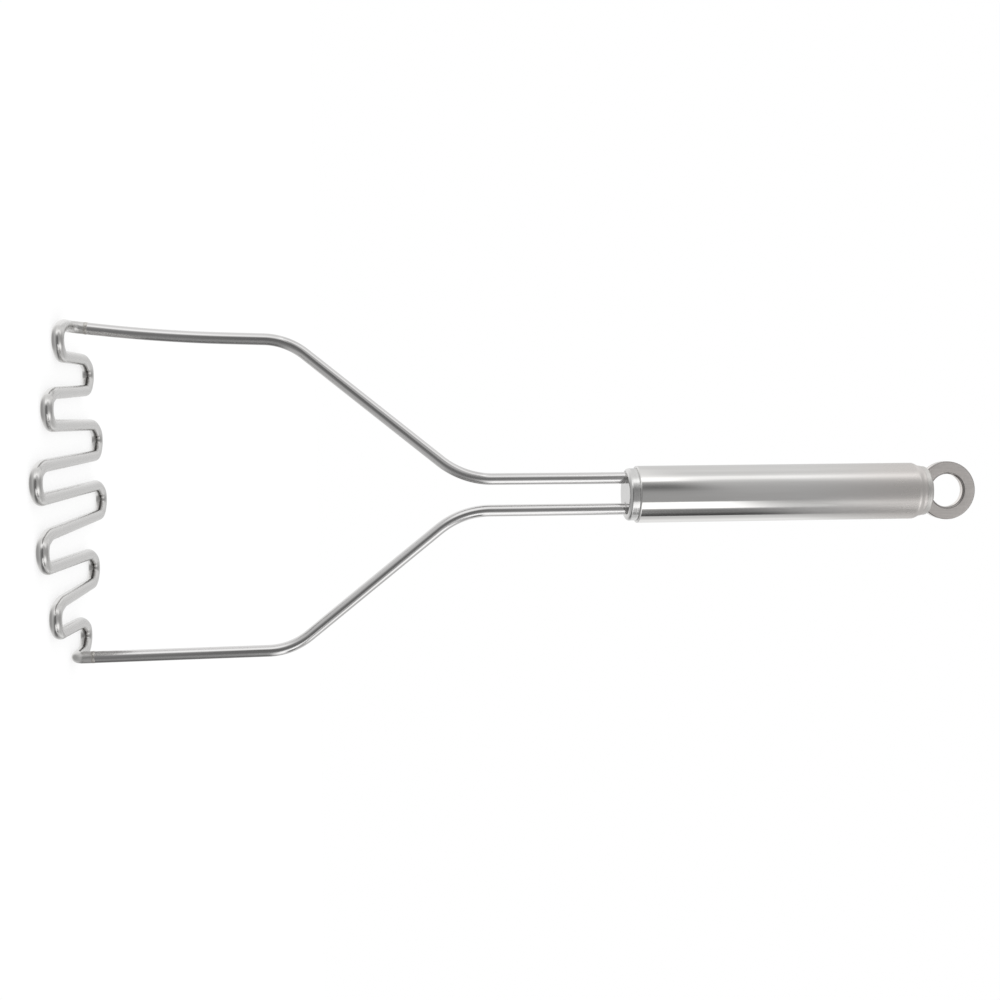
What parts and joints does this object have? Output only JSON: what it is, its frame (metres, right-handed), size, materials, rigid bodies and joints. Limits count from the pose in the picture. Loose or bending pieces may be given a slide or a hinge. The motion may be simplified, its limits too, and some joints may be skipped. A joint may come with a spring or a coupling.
{
  "type": "potato masher",
  "caption": "Stainless steel potato masher: a flat serpentine wire grid on two bent legs that run into a round tube handle with a hanging ring.",
  "frame": {"origin": "middle of the mashing head, on the mashing face", "axes": "+Z from the mashing face up the handle to the hanging ring; X across the two legs, left leg at -X; Y along the bars of the grid and along the hole of the hanging ring"},
  "size_m": [0.1043, 0.1082, 0.2865],
  "materials": {
    "grid_steel": "satin stainless steel wire",
    "weld_steel": "dressed weld, satin",
    "leg_steel": "drawn and polished stainless steel wire",
    "plug_steel": "turned and polished stainless steel",
    "tube_steel": "polished stainless steel",
    "ring_steel": "brushed stainless steel"
  },
  "bodies": {
    "root": {"grid": "grid_steel", "left_weld": "weld_steel", "right_weld": "weld_steel", "left_leg": "leg_steel", "right_leg": "leg_steel", "front_plug": "plug_steel", "tube": "tube_steel", "rear_plug": "plug_steel", "hanging_ring": "ring_steel"}
  },
  "joints": []
}
